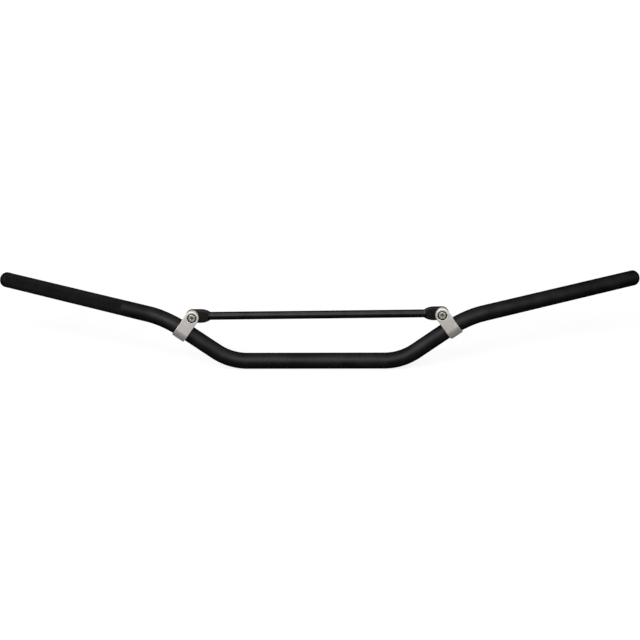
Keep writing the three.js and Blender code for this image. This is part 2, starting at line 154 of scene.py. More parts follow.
class ScrewSizes(bpy.types.PropertyGroup):
    """Sizes of the clamp screws, washers, lock nuts and nylon rings"""

    diameter: length("Diameter", "Thread's outside", 0.006)
    pitch: length("Pitch", "Thread to thread", 0.001)
    thread_depth: length("Thread depth", "Crest to root", 0.00058)
    crest: share("Crest", "Half of a crest's width, in pitches", 0.06)
    flank: share("Flank", "Width of a flank, in pitches", 0.36)
    turn_rows: count("Turn rows", "Rows of points in one turn of the thread", 8)
    sides: count("Sides", "Points round the screw; an even number", 72)
    plain: length("Plain", "Shank without thread, under the head", 0.0012)
    length: length("Length", "Under the head", 0.025)
    point: length("Point", "Chamfer of the point", 0.0009)
    head: length("Head", "Diameter of the head", 0.01)
    head_height: length("Head height", "Height of the head", 0.004)
    head_edge: length("Head edge", "Rounding of the head's front edge", 0.0006)
    flute: length("Flute", "Depth of the flutes round the head", 0.0002)
    head_back: length("Head back", "Crossbar's axis forward to the head's underside", 0.0094)
    key: length("Key", "Socket across flats", 0.004)
    key_depth: length("Key depth", "Depth of the socket", 0.0024)
    drill: share("Drill", "Radius of the drilled hole, as a share of the key", 0.46)
    drill_tip: length("Drill tip", "Cone under the drilled hole", 0.0006)
    hole: length("Hole", "Diameter of the holes that the screw passes", 0.0066)
    hole_sides: count("Hole sides", "Points round a hole", 48)
    washer: length("Washer", "Diameter of the washer", 0.012)
    washer_height: length("Washer height", "Thickness of the washer", 0.0012)
    washer_back: length("Washer back", "Crossbar's axis forward to the washer's back", 0.0079)
    nut: length("Nut", "Nut across flats", 0.01)
    nut_front: length("Nut front", "Crossbar's axis back to the nut", 0.008)
    nut_height: length("Nut height", "Height of the nut", 0.006)
    nut_lead: share("Nut lead", "Height of the nut's front cone, in chamfers", 0.7)
    nut_fall: share("Nut fall", "Height of its rear cone, in chamfers", 0.5)
    collar: length("Nut collar", "Diameter of the crimped collar", 0.0097)
    collar_height: length("Collar height", "Height of the crimped collar", 0.0021)
    crimp: share("Crimp", "How far the collar's rim turns in, in rim heights", 0.8)
    ring: length("Ring", "Diameter of the nylon ring", 0.0086)
    ring_height: length("Ring height", "Thickness of the nylon ring", 0.0016)
    ring_sides: count("Ring sides", "Points round the nylon ring", 64)
    edge: length("Edge", "Rounding of small edges", 0.00015)
    round_sides: count("Round sides", "Points round other turned pieces", 96)


class CrossbarSizes(bpy.types.PropertyGroup):
    """Sizes of the forged crossbar"""

    diameter: length("Diameter", "Round stretch of the crossbar", 0.011)
    eye: length("Eye", "Width of an eye", 0.019)
    thickness: length("Thickness", "Eye, flat to flat", 0.008)
    shoulder: length("Shoulder", "Screw to the start of the taper", 0.0109)
    taper: length("Taper", "Length of the rounded taper", 0.0133)
    nose_start: length("Nose start", "Screw to where the round bar rises out of the flat", 0.0211)
    nose_length: length("Nose length", "From there to the full round", 0.0014)
    edge: length("Edge", "Softness of the forged edges", 0.0016)
    seam: length("Seam", "Softness where two forged surfaces meet", 0.0004)
    sides: count("Sides", "Points round the crossbar", 128)
    cap_steps: count("Cap steps", "Rings from an end to its screw", 30)
    eye_steps: count("Eye steps", "Rings from a screw to the taper", 12)
    taper_steps: count("Taper steps", "Rings of the taper", 48)


class Finishes(bpy.types.PropertyGroup):
    """Colours and roughness of the finishes"""

    coat: colour("Coat", "Satin black coat of the tube and the crossbar", (0.0182, 0.0172, 0.0174))
    coat_edge: share("Coat edge", "How much the coat mirrors at grazing angles", 0.33)
    coat_worn: colour("Coat, worn", "The coat where it is rubbed", (0.03, 0.029, 0.028))
    tube_rough: share("Tube roughness", "Roughness of the tube's coat", 0.49)
    rod_rough: share("Crossbar roughness", "Roughness of the crossbar's coat", 0.35)
    knurl: colour("Knurl", "Black coat on the knurled band", (0.0125, 0.012, 0.012))
    knurl_edge: share("Knurl edge", "How much the knurled band mirrors at grazing angles", 0.33)
    knurl_rough: share("Knurl roughness", "Roughness of the knurled band", 0.7)
    plastic: colour("Plastic", "Moulded black plastic", (0.0125, 0.012, 0.0118))
    plastic_edge: share("Plastic edge", "How much the plastic mirrors at grazing angles", 0.15)
    plastic_rough: share("Plastic roughness", "Roughness of the plastic", 0.55)
    aluminium: colour("Aluminium", "Blasted aluminium of the clamps", (0.71, 0.675, 0.64))
    aluminium_edge: share("Aluminium edge", "How much it mirrors at grazing angles", 0.6)
    aluminium_rough: share("Aluminium roughness", "Roughness of the aluminium", 0.42)
    zinc: colour("Zinc", "Bright zinc on the screws and lock nuts", (0.57, 0.55, 0.49))
    zinc_rough: share("Zinc roughness", "Roughness of the zinc", 0.28)
    oxide: colour("Oxide", "Black oxide on the washers", (0.006, 0.006, 0.006))
    oxide_worn: colour("Oxide, worn", "The oxide where it is rubbed", (0.05, 0.048, 0.045))
    oxide_rough: share("Oxide roughness", "Roughness of the black oxide", 0.42)
    nylon: colour("Nylon", "Nylon of the locking rings", (0.76, 0.74, 0.68))
    nylon_rough: share("Nylon roughness", "Roughness of the nylon", 0.5)
    # dark colour blended into narrow gaps and inner corners: painted shade
    dirt: colour("Dirt", "Painted shade in narrow gaps and inner corners", (0.012, 0.0105, 0.009))


class Studio(bpy.types.PropertyGroup):
    """Camera, floor and lamps"""

    lens: FloatProperty(name="Lens", description="Focal length, in millimetres", default=98.617, min=1)
    sensor: FloatProperty(name="Sensor", description="Width of the sensor, in millimetres",
                          default=36, min=1)
    clip_near: length("Clip near", "Nearest thing that the camera sees", 0.02)
    clip_far: length("Clip far", "Furthest thing that the camera sees", 200)
    distance: length("Distance", "Camera to the point that it looks at", 2.4)
    elevation: angle("Elevation", "Camera above level", 15.2)
    yaw: angle("Yaw", "Turn of the bar against the camera", -1.63)
    roll: angle("Roll", "Tilt of the camera", 0.56)
    aim_across: length("Aim across", "Point looked at, across", 0.0063)
    aim_up: length("Aim up", "Point looked at, up", 0.058)
    floor_size: length("Floor size", "Side of the square floor", 60)
    floor_gap: length("Floor gap", "Bar to the floor", 0.0003)
    floor: share("Floor", "How much lamplight the floor returns", 0.25)
    across_share: share("Across share", "How much a step across counts in the floor's white", 0.5)
    lift_near: share("Lift near", "White that the floor shows near the bar", 0.83)
    lift_from: length("Lift from", "Where that white starts to grow", 0.3)
    lift_to: length("Lift to", "Where the floor shows plain white", 1.5)
    mirror_from: length("Mirror from", "Where the floor starts to whiten in mirrors", 0.5)
    mirror_to: length("Mirror to", "Where mirrors show the floor plain white", 2.5)
    ambient: share("Ambient", "Soft light from all around", 0.3)
    key_power: FloatProperty(name="Key power", description="Soft lamp in front, in watts",
                             default=25, unit="POWER")
    key_place: point("Key place", "Where the soft lamp in front stands", (-0.4, -1.45, 1))
    key_aim: point("Key aim", "Point that it shines at", (0, 0, 0.04))
    key_width: length("Key width", "Its width", 1.6)
    key_height: length("Key height", "Its height", 1.1)
    side_power: FloatProperty(name="Side power", description="Each of the two side lamps, in watts",
                              default=1.5, unit="POWER")
    side_place: point("Side place", "Where the right side lamp stands", (0.62, -0.35, 0.45))
    side_aim: point("Side aim", "Point that it shines at", (0.22, 0.02, 0.06))
    side_width: length("Side width", "Width and height of a side lamp", 0.35)


GROUPS = {
    "bar": BarSizes,
    "plug": PlugSizes,
    "clamp": ClampSizes,
    "screw": ScrewSizes,
    "crossbar": CrossbarSizes,
    "finish": Finishes,
    "studio": Studio,
}


def chosen(group):
    return getattr(bpy.context.scene, "handlebar_" + group)


# Meshes

def turns(sides):
    return [math.tau * i / sides for i in range(sides)]


def about_y(radius, y, turn):
    return Vector((radius * math.cos(turn), y, radius * math.sin(turn)))


def closed_faces(rings, wrap=False):
    """Quads between rings of the same count; wrap also joins the last ring to the first"""
    sides = len(rings[0])
    pairs = [(k, k + 1) for k in range(len(rings) - 1)]
    if wrap:
        pairs.append((len(rings) - 1, 0))
    faces = []
    for near, far in pairs:
        for i in range(sides):
            j = (i + 1) % sides
            faces.append((near * sides + i, near * sides + j, far * sides + j, far * sides + i))
    return faces


def linked(name, data):
    made = bpy.data.objects.new(name, data)
    bpy.context.scene.collection.objects.link(made)
    return made


def bare_object(name, points, faces):
    mesh = bpy.data.meshes.new(name)
    mesh.from_pydata([tuple(p) for p in points], [], faces)
    return linked(name, mesh)


def tidy_mesh(piece, join=True):
    """Joins doubled points, drops faces without area and points every face outwards"""
    work = bmesh.new()
    work.from_mesh(piece.data)
    if join:
        bmesh.ops.remove_doubles(work, verts=work.verts, dist=TOUCH)
        bmesh.ops.dissolve_degenerate(work, edges=work.edges, dist=TOUCH)
    bmesh.ops.recalc_face_normals(work, faces=work.faces)
    work.to_mesh(piece.data)
    work.free()


def skinned(name, rings, wrap=False):
    points = [p for ring in rings for p in ring]
    piece = bare_object(name, points, closed_faces(rings, wrap))
    tidy_mesh(piece)
    return piece


def turned(name, profile, sides, wrap=False):
    """A solid about Y, from (radius, y) pairs that start and end on the axis, or wrap to a ring"""
    return skinned(name, [[about_y(r, y, turn) for turn in turns(sides)] for r, y in profile], wrap)


def drilled(name, radius, low, high, sides):
    """A straight round cutter along Y"""
    return turned(name, [(0, low), (radius, low), (radius, high), (0, high)], sides)


def prism(name, outline, low, high):
    """A prism along Y with the given (x, z) outline"""
    size = len(outline)
    points = [(x, low, z) for x, z in outline] + [(x, high, z) for x, z in outline]
    faces = [tuple(range(size)), tuple(range(size, 2 * size))]
    for i in range(size):
        j = (i + 1) % size
        faces.append((i, j, size + j, size + i))
    piece = bare_object(name, points, faces)
    tidy_mesh(piece)
    return piece


def hexagon(across_flats):
    corner = across_flats / math.sqrt(3)
    return [(corner * math.cos(turn), corner * math.sin(turn)) for turn in turns(6)]


def quarter_arc(centre, radius, steps, quarter=-1):
    """Points of a quarter circle in a profile, both ends included; -1 is the lower right quarter"""
    points = []
    for k in range(steps + 1):
        turn = (quarter + k / steps) * math.pi / 2
        points.append((centre[0] + radius * math.cos(turn), centre[1] + radius * math.sin(turn)))
    return points


def applied(piece):
    """Replaces a piece's mesh with what its modifiers make of it"""
    bpy.context.view_layer.update()
    graph = bpy.context.evaluated_depsgraph_get()
    result = bpy.data.meshes.new_from_object(piece.evaluated_get(graph))
    old = piece.data
    piece.modifiers.clear()
    piece.data = result
    bpy.data.meshes.remove(old)


def combine(piece, others, operation="DIFFERENCE"):
    """Cuts other meshes out of a piece, or keeps what is common, and deletes the others"""
    for other in others:
        step = piece.modifiers.new("join", "BOOLEAN")
        step.operation = operation
        step.solver = "EXACT"
        step.object = other
    applied(piece)
    for other in others:
        mesh = other.data
        bpy.data.objects.remove(other)
        bpy.data.meshes.remove(mesh)


def smooth_shaded(piece, sharp=SHARP):
    """Smooth shading that stops at sharp edges, with flat faces kept flat"""
    for face in piece.data.polygons:
        face.use_smooth = True
    piece.data.set_sharp_from_angle(angle=sharp)
    weighted = piece.modifiers.new("flats", "WEIGHTED_NORMAL")
    weighted.keep_sharp = True
    weighted.weight = 100
    applied(piece)


def dressed(piece, node, body, slot, *looks):
    """Gives a piece its finishes and its place in the frame, where it stands for a CAD node"""
    for look in looks:
        piece.data.materials.append(finished(look))
    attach(piece, body)
    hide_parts(node)


# The bar's centreline

def directions():
    """Unit directions of the right rise and the right arm"""
    bar = chosen("bar")
    rise = Vector((bar.upper_out - bar.lower_out, 0, bar.rise)).normalized()
    level = math.cos(bar.arm_rise)
    arm = Vector((
        math.cos(bar.arm_sweep) * level,
        math.sin(bar.arm_sweep) * level,
        math.sin(bar.arm_rise),
    ))
    return rise, arm


def mirrored(vector, side):
    return Vector((vector.x * side, vector.y, vector.z))


def bend_reach(into, out_of):
    """From a bend's corner to where its arc starts"""
    return chosen("bar").bend_radius * math.tan(into.angle(out_of) / 2)


def right_corners():
    bar = chosen("bar")
    upper = Vector((bar.upper_out, 0, bar.rise))
    return [Vector((bar.lower_out, 0, 0)), upper, upper + directions()[1] * bar.arm]


def bend_stations(corner, into, out_of):
    bar = chosen("bar")
    turn = into.angle(out_of)
    start = corner - into * bend_reach(into, out_of)
    inward = (out_of - into * into.dot(out_of)).normalized()
    steps = math.ceil(turn / bar.bend_step)
    stations = []
    for k in range(steps + 1):
        a = turn * k / steps
        place = start + into * (bar.bend_radius * math.sin(a))
        place += inward * (bar.bend_radius * (1 - math.cos(a)))
        stations.append((place, into * math.cos(a) + inward * math.sin(a)))
    return stations


def bar_stations():
    """Points and directions along the whole bar, from the left end to the right one"""
    right = right_corners()
    corners = [mirrored(corner, -1) for corner in reversed(right)] + right
    legs = [(b - a).normalized() for a, b in zip(corners, corners[1:])]
    stations = [(corners[0], legs[0])]
    for corner, into, out_of in zip(corners[1:-1], legs, legs[1:]):
        stations += bend_stations(corner, into, out_of)
    stations.append((corners[-1], legs[-1]))
    return stations


def with_axes(stations):
    """Adds two cross axes to each station, carried along without twist"""
    up = Vector((0, 0, 1))
    last = None
    framed = []
    for place, along in stations:
        if last is not None:
            up = last.rotation_difference(along) @ up
        up = (up - along * up.dot(along)).normalized()
        framed.append((place, along, along.cross(up), up))
        last = along
    return framed


def ring_at(station, radius, sides, forward=0.0, radii=None):
    place, along, across, up = station
    centre = place + along * forward
    ring = []
    for i, turn in enumerate(turns(sides)):
        r = radii[i] if radii else radius
        ring.append(centre + across * (r * math.cos(turn)) + up * (r * math.sin(turn)))
    return ring


def swept(name, stations, radius, sides):
    """A round cutter along some stations, with flat ends"""
    framed = with_axes(stations)
    rings = [ring_at(framed[0], 0, sides)]
    rings += [ring_at(station, radius, sides) for station in framed]
    rings.append(ring_at(framed[-1], 0, sides))
    return skinned(name, rings)


# The tube

def knurl_rows(first, sides, radius):
    """Rings of small pyramids: high and low points alternate round the bar and along it"""
    bar = chosen("bar")
    low = radius - bar.knurl_depth
    pitch = math.tau * radius / sides
    rows = math.floor(bar.knurl_length / pitch)
    rings = [ring_at(first, low, sides, bar.knurl_start + bar.knurl_depth)]
    for k in range(1, rows):
        radii = [radius if (i + k) % 2 else low for i in range(sides)]
        rings.append(ring_at(first, 0, sides, bar.knurl_start + k * pitch, radii))
    end = bar.knurl_start + rows * pitch
    rings.append(ring_at(first, low, sides, end - bar.knurl_depth))
    rings.append(ring_at(first, radius, sides, end))
    return rings


def add_bar_tube():
    bar = chosen("bar")
    sides, radius, cut = bar.sides, bar.diameter / 2, bar.end_round
    bore = radius - bar.wall
    framed = with_axes(bar_stations())
    first, last, middle = framed[0], framed[-1], framed[1:-1]
    corner = [(cut, 0), (cut * ROUND_MIDDLE, cut * ROUND_MIDDLE), (0, cut)]
    lead = [ring_at(first, radius - r, sides, y) for r, y in corner + [(0, bar.knurl_start)]]
    knurl = knurl_rows(first, sides, radius)
    rings = lead + knurl + [ring_at(station, radius, sides) for station in middle]
    rings += [ring_at(last, radius - r, sides, -y) for r, y in reversed(corner)]
    rings += [ring_at(last, bore + bar.lip, sides), ring_at(last, bore, sides, -bar.lip)]
    rings += [ring_at(station, bore, sides) for station in reversed(middle)]
    rings += [ring_at(first, bore, sides, bar.lip), ring_at(first, bore + bar.lip, sides)]
    start = len(lead) * sides
    plain_rows = 3  # the last rows of the knurl, which lead out of it
    end = start + (len(knurl) - plain_rows) * sides
    faces = []
    for face in closed_faces(rings, wrap=True):
        a, b, c, d = face
        if start <= a < end:
            # the fold of each square runs through its two low corners
            row, place = divmod(a - start, sides)
            faces += ((a, b, c), (a, c, d)) if (row + place) % 2 == 0 else ((a, b, d), (b, c, d))
        else:
            faces.append(face)
    piece = bare_object("bar_tube_knurled", [p for ring in rings for p in ring], faces)
    for face in piece.data.polygons:
        at = min(face.vertices)
        face.use_smooth = len(face.vertices) == 4
        face.material_index = 1 if start - sides <= at < end + sides else 0
    piece.data.set_sharp_from_angle(angle=SHARP)
    tidy_mesh(piece, join=False)
    dressed(piece, "bar_tube", "bar", "satin_black", "satin_black_tube", "knurled_black_coat")


# The crossbar

def clamp_place(side):
    """Where a clamp sits: the middle of its bore, turned with the rise"""
    bar, clamp = chosen("bar"), chosen("clamp")
    rise, arm = directions()
    past = clamp.past_bend + side * clamp.shift - bend_reach(rise, arm)
    centre = mirrored(right_corners()[1] + rise * past, side)
    tilt = math.atan2(bar.rise, bar.upper_out - bar.lower_out)
    return Matrix.Translation(centre) @ Matrix.Rotation(-side * tilt, 4, "Y")


def screw_place(side):
    return clamp_place(side) @ Matrix.Translation((0, 0, chosen("clamp").screw_height))


def soft_min(a, b, width):
    fold = max(width - abs(a - b), 0) / width
    return min(a, b) - fold * fold * width / 4


def crossbar_radius(distance, turn):
    """Radius of the crossbar at a distance from its nearer screw, in one direction"""
    size = chosen("crossbar")
    eye, rod, face = size.eye / 2, size.diameter / 2, size.thickness / 2
    if distance < 0:
        round_size = math.sqrt(max(eye * eye - distance * distance, 0))
    else:
        # the rounded taper is part of an ellipse that ends at the round bar
        reach = size.taper / math.sin(math.acos(rod / eye))
        fall = min(max((distance - size.shoulder) / reach, 0), 1)
        bulb = eye * math.sqrt(1 - fall * fall)
        round_size = -soft_min(-bulb, -rod, size.seam)
    slope = (rod - face) / size.nose_length
    nose = min(face + slope * (distance - size.nose_start), rod)
    flat = face / max(abs(math.sin(turn)), FLAT)
    pressed = -soft_min(-flat, -max(nose, 0), size.seam)
    edge = min(size.edge, round_size) + TOUCH
    return max(soft_min(round_size, min(pressed, 2 * eye), edge), 0)


def add_crossbar():
    size, screw = chosen("crossbar"), chosen("screw")
    left, right = [screw_place(side).translation for side in SIDES.values()]
    span = (right - left).length
    along = (right - left).normalized()
    front = Vector((0, 1, 0))
    across = along.cross(front)
    eye, shoulder = size.eye / 2, size.shoulder
    taper = size.taper + size.seam
    stops = [-eye * math.cos(math.pi / 2 * k / size.cap_steps) for k in range(size.cap_steps)]
    stops += [shoulder * k / size.eye_steps for k in range(size.eye_steps + 1)]
    stops += [shoulder + taper * k / size.taper_steps for k in range(1, size.taper_steps + 1)]
    marks = [(s, s) for s in stops + [span / 2]] + [(span - s, s) for s in reversed(stops)]
    rings = []
    for place, distance in marks:
        ring = []
        for turn in turns(size.sides):
            r = crossbar_radius(distance, turn)
            offset = front * (r * math.sin(turn)) + across * (r * math.cos(turn))
            ring.append(left + along * place + offset)
        rings.append(ring)
    piece = skinned("crossbar_forged", rings)
    cutters = []
    for end in (left, right):
        cutter = drilled("cutter", screw.hole / 2, -eye, eye, screw.hole_sides)
        cutter.data.transform(Matrix.Translation(end))
        cutters.append(cutter)
    combine(piece, cutters)
    smooth_shaded(piece)
    for face in piece.data.polygons:
        near = min((face.center - end).length for end in (left, right))
        face.material_index = 1 if near < size.nose_start else 0
    dressed(piece, "crossbar", "bar", "satin_black", "satin_black_crossbar", "satin_black_tube")


# The clamps

def strap_radius():
    bar, clamp = chosen("bar"), chosen("clamp")
    return bar.diameter / 2 + clamp.gap + clamp.wall


def shoulder_top():
    """Height at which the rear ear's sides stand straight up"""
    clamp = chosen("clamp")
    return clamp.shoulder + clamp.width / 2 - clamp.rear_top


def strap_arc():
    """The strap's outside seen along the tube, as (y, z) points from the flat front to the rear ear"""
    clamp = chosen("clamp")
    strap = strap_radius()
    cut = math.asin((strap - clamp.corner_cut) / strap)
    stops = [math.pi, math.pi + cut, math.tau - cut]
    stops += [math.tau + math.asin(z / strap) for z in (clamp.shoulder, shoulder_top())]
    stops.append(math.tau + math.acos(clamp.rear_back / strap))
    places = [stops[0]]
    for start, end in zip(stops, stops[1:]):
        steps = math.ceil((end - start) / clamp.arc_step)
        places += [start + (end - start) * k / steps for k in range(1, steps + 1)]
    return [(strap * math.cos(t), strap * math.sin(t)) for t in places]


def clamp_block(name):
    """The clamp before its holes are cut, with its outer edges rounded"""
    clamp = chosen("clamp")
    half, inner, floor = clamp.width / 2, clamp.slot / 2, clamp.shoulder
    strap = strap_radius()
    arc = strap_arc()
    work = bmesh.new()
    kind = work.faces.layers.int.new("kind")

    def reach(y, z):
        low_cut = max(clamp.corner_cut - strap - z, 0)
        rear_cut = min(max(z - floor, 0), half - clamp.rear_top) if y > 0 else 0
        return half - low_cut - rear_cut

    def face(corners, outer):
        made = work.faces.new(corners)
        made[kind] = 1 if outer else 0

    def pair(y, z):
        """The right and left points of one place in the outline"""
        return [work.verts.new((side * reach(y, z), y, z)) for side in (1, -1)]

    def arch(y, radius):
        """The round top of an ear, from its right side to its left one"""
        places = [math.pi * k / clamp.arch_steps for k in range(clamp.arch_steps + 1)]
        return [work.verts.new((radius * math.cos(t), y, clamp.screw_height + radius * math.sin(t)))
                for t in places]

    front_out, front_in = arch(-strap, half), arch(-inner, half)
    rear_in, rear_out = arch(inner, clamp.rear_top), arch(clamp.rear_back, clamp.rear_top)
    round_back = [pair(y, z) for y, z in arc]
    rear_mid, rear_floor = pair(inner, shoulder_top()), pair(inner, floor)
    front_floor = pair(-inner, floor)
    # flat faces of the ears, then the strap and the slot's floor
    face(front_out + [round_back[0][1], round_back[0][0]], True)
    face(front_in + [front_floor[1], front_floor[0]], True)
    face(rear_in + [rear_mid[1], rear_floor[1], rear_floor[0], rear_mid[0]], True)
    face(rear_out + [round_back[-1][1], round_back[-1][0]], True)
    for (a, b), (c, d) in zip(round_back, round_back[1:]):
        face([a, c, d, b], True)
    face([rear_floor[0], front_floor[0], front_floor[1], rear_floor[1]], False)
    # round tops of the ears
    for near, far in ((front_out, front_in), (rear_in, rear_out)):
        for k in range(len(near) - 1):
            face([near[k], near[k + 1], far[k + 1], far[k]], False)
    # the two sides, the cut corners under them, the rear's shoulders and its ear's straight sides
    cut_from = clamp.corner_cut - strap + TOUCH
    low = [k for k, (y, z) in enumerate(arc) if z <= cut_from]
    lower, upper = [
        min(k for k, (y, z) in enumerate(arc) if y > 0 and z > height - TOUCH)
        for height in (floor, shoulder_top())
    ]
    for row, end in ((0, 0), (1, -1)):
        rim = [points[row] for points in round_back]
        outline = rim[:low[0] + 1] + rim[low[-1]:lower + 1]
        face(outline + [rear_floor[row], front_floor[row], front_in[end], front_out[end]], False)
        face(rim[low[0]:low[-1] + 1], False)
        face(rim[lower:upper + 1] + [rear_mid[row], rear_floor[row]], False)
        face(rim[upper:] + [rear_out[end], rear_in[end], rear_mid[row]], False)
    bmesh.ops.recalc_face_normals(work, faces=work.faces)
    edges = []
    for edge in work.edges:
        kinds = {f[kind] for f in edge.link_faces}
        on_floor = all(abs(v.co.z - floor) < TOUCH for v in edge.verts)
        if len(kinds) == 2 and not on_floor:
            edges.append(edge)
    bmesh.ops.bevel(work, geom=edges, offset=clamp.edge, offset_type="OFFSET", affect="EDGES",
                    segments=clamp.edge_steps, profile=ROUND_PROFILE, clamp_overlap=True)
    mesh = bpy.data.meshes.new(name)
    work.to_mesh(mesh)
    work.free()
    return linked(name, mesh)


def clamp_cutters():
    """The screw's hole and the counterbore, with a small chamfer at its mouth"""
    clamp, screw = chosen("clamp"), chosen("screw")
    strap = strap_radius()
    far = 2 * strap
    bore = clamp.bore / 2
    floor = clamp.bore_depth - strap
    flare = far - strap + clamp.mouth
    through = drilled("hole", screw.hole / 2, -far, far, screw.hole_sides)
    counterbore = turned("counterbore", [
        (0, -far), (bore + flare, -far), (bore, clamp.mouth - strap), (bore, floor), (0, floor),
    ], screw.round_sides)
    return [through, counterbore]


def add_clamp(side_name):
    side = SIDES[side_name]
    bar, clamp = chosen("bar"), chosen("clamp")
    piece = clamp_block(side_name + "_clamp_milled")
    cutters = clamp_cutters()
    for cutter in cutters:
        cutter.data.transform(Matrix.Translation((0, 0, clamp.screw_height)))
    place = clamp_place(side)
    for part in [piece] + cutters:
        part.data.transform(place)
    centre, width = place.translation, clamp.width
    path = [s for s in bar_stations() if (s[0] - centre).length < clamp.bore_near * width]
    rise = mirrored(directions()[0], side) * side
    outer = (centre - rise * (side * clamp.bore_reach * width), rise)
    path = path + [outer] if side < 0 else [outer] + path
    cutters.append(swept("bore", path, bar.diameter / 2 + clamp.gap, chosen("screw").round_sides))
    combine(piece, cutters)
    smooth_shaded(piece)
    dressed(piece, side_name + "_clamp", "bar", "silver_aluminium", "blasted_aluminium")


# Screws, washers, lock nuts and nylon rings, made about Y with the crossbar's axis at the origin

def fitted(piece, side_name, part, body, slot, look, sharp=SHARP):
    """Shades a piece, moves it to its screw's place and dresses it"""
    smooth_shaded(piece, sharp)
    piece.data.transform(screw_place(SIDES[side_name]))
    dressed(piece, side_name + part, body, slot, look)


def thread_radius(y, turn_share, start, end):
    """Radius of the screw at a height; the thread runs out at its start and tapers at its point"""
    screw = chosen("screw")
    radius = screw.diameter / 2
    phase = ((y - start) / screw.pitch - turn_share) % 1
    flank = min(max((abs(phase - 0.5) - screw.crest) / screw.flank, 0), 1)
    fade = min(max((y - start) / screw.pitch, 0), 1)
    return min(radius - screw.thread_depth * flank * fade, radius - screw.point + (end - y))


def threaded_rings(start, end):
    """Rows that climb with the thread, so that its crest is one clean line"""
    screw = chosen("screw")
    per_turn = screw.turn_rows
    rows = math.ceil((end - start) / screw.pitch) * per_turn + per_turn
    rings = []
    for k in range(-per_turn, rows + 1):
        ring = []
        for i, turn in enumerate(turns(screw.sides)):
            part = i / screw.sides
            y = min(max(start + screw.pitch * (k / per_turn + part), start), end)
            ring.append(about_y(thread_radius(y, part, start, end), y, turn))
        rings.append(ring)
    return rings


def thread_faces(rows, base):
    """Quads of the thread; a row's last column meets the first one of the row a pitch further on"""
    screw = chosen("screw")
    sides = screw.sides
    faces = []
    for k in range(rows - 1):
        for i in range(sides):
            a = base + k * sides + i
            if i + 1 < sides:
                b = a + 1
            elif k + 1 + screw.turn_rows < rows:
                b = base + (k + screw.turn_rows) * sides
            else:
                continue
            faces.append((a, b, b + sides, a + sides))
    return faces


def close_ends(piece, end):
    """Joins the thread's stepped start to the plain shank and closes the screw's point"""
    work = bmesh.new()
    work.from_mesh(piece.data)
    bmesh.ops.remove_doubles(work, verts=work.verts, dist=TOUCH)
    bmesh.ops.dissolve_degenerate(work, edges=work.edges, dist=TOUCH)
    loose = [v for v in work.verts if not v.link_faces]
    bmesh.ops.delete(work, geom=loose, context="VERTS")
    open_edges = [e for e in work.edges if e.is_boundary]
    at_point = [e for e in open_edges if all(abs(v.co.y - end) < TOUCH for v in e.verts)]
    bmesh.ops.edgeloop_fill(work, edges=at_point)
    rest = [e for e in work.edges if e.is_boundary]
    bmesh.ops.bridge_loops(work, edges=rest)
    bmesh.ops.recalc_face_normals(work, faces=work.faces)
    work.to_mesh(piece.data)
    work.free()


def add_clamp_screw(side_name):
    screw = chosen("screw")
    back = -screw.head_back
    front = back - screw.head_height
    head, edge, small = screw.head / 2, screw.head_edge, screw.edge
    start, end = back + screw.plain, back + screw.length
    profile = [(0, front)] + quarter_arc((head - edge, front + edge), edge, 5)
    fluted = len(profile)
    profile += [(head, front + edge + screw.flute), (head, back - 2 * small - screw.flute)]
    profile += [(head, back - 2 * small), (head - 2 * small, back), (screw.diameter / 2, back)]
    rings = []
    for k, (r, y) in enumerate(profile):
        deep = screw.flute if k in (fluted, fluted + 1) else 0
        rings.append([about_y(r - deep * (i % 2), y, t) for i, t in enumerate(turns(screw.sides))])
    thread = threaded_rings(start, end)
    points = [p for ring in rings + thread for p in ring]
    faces = closed_faces(rings) + thread_faces(len(thread), len(rings) * screw.sides)
    piece = bare_object(side_name + "_clamp_screw_threaded", points, faces)
    close_ends(piece, end)
    corner = screw.key / math.sqrt(3)
    floor = front + screw.key_depth
    socket = prism("socket", hexagon(screw.key), front - screw.key_depth, floor)
    flare = corner - screw.key / 2 + 2 * small
    lead = turned("lead", [
        (0, front - flare), (corner + small + flare, front - flare),
        (corner + small - flare, front + flare), (0, front + flare),
    ], screw.hole_sides)
    wide = screw.key * screw.drill
    drill = turned("drill", [
        (0, front), (wide, front), (wide, floor), (0, floor + screw.drill_tip),
    ], screw.hole_sides)
    combine(piece, [socket, lead, drill])
    body = side_name + "_screw"
    fitted(piece, side_name, "_clamp_screw", body, "zinc_steel", "bright_zinc_steel", FINE_SHARP)


def add_washer(side_name):
    screw = chosen("screw")
    outer, hole, small = screw.washer / 2, screw.hole / 2, screw.edge
    back = -screw.washer_back
    front = back - screw.washer_height
    profile = [(hole, front + small), (hole + small, front)]
    profile += quarter_arc((outer - 2 * small, front + 2 * small), 2 * small, 4)
    profile += [(outer, back - small), (outer - small, back), (hole, back)]
    piece = turned(side_name + "_washer_stamped", profile, screw.round_sides, wrap=True)
    body = side_name + "_screw_travel"
    fitted(piece, side_name, "_washer", body, "black_steel", "black_oxide_steel")


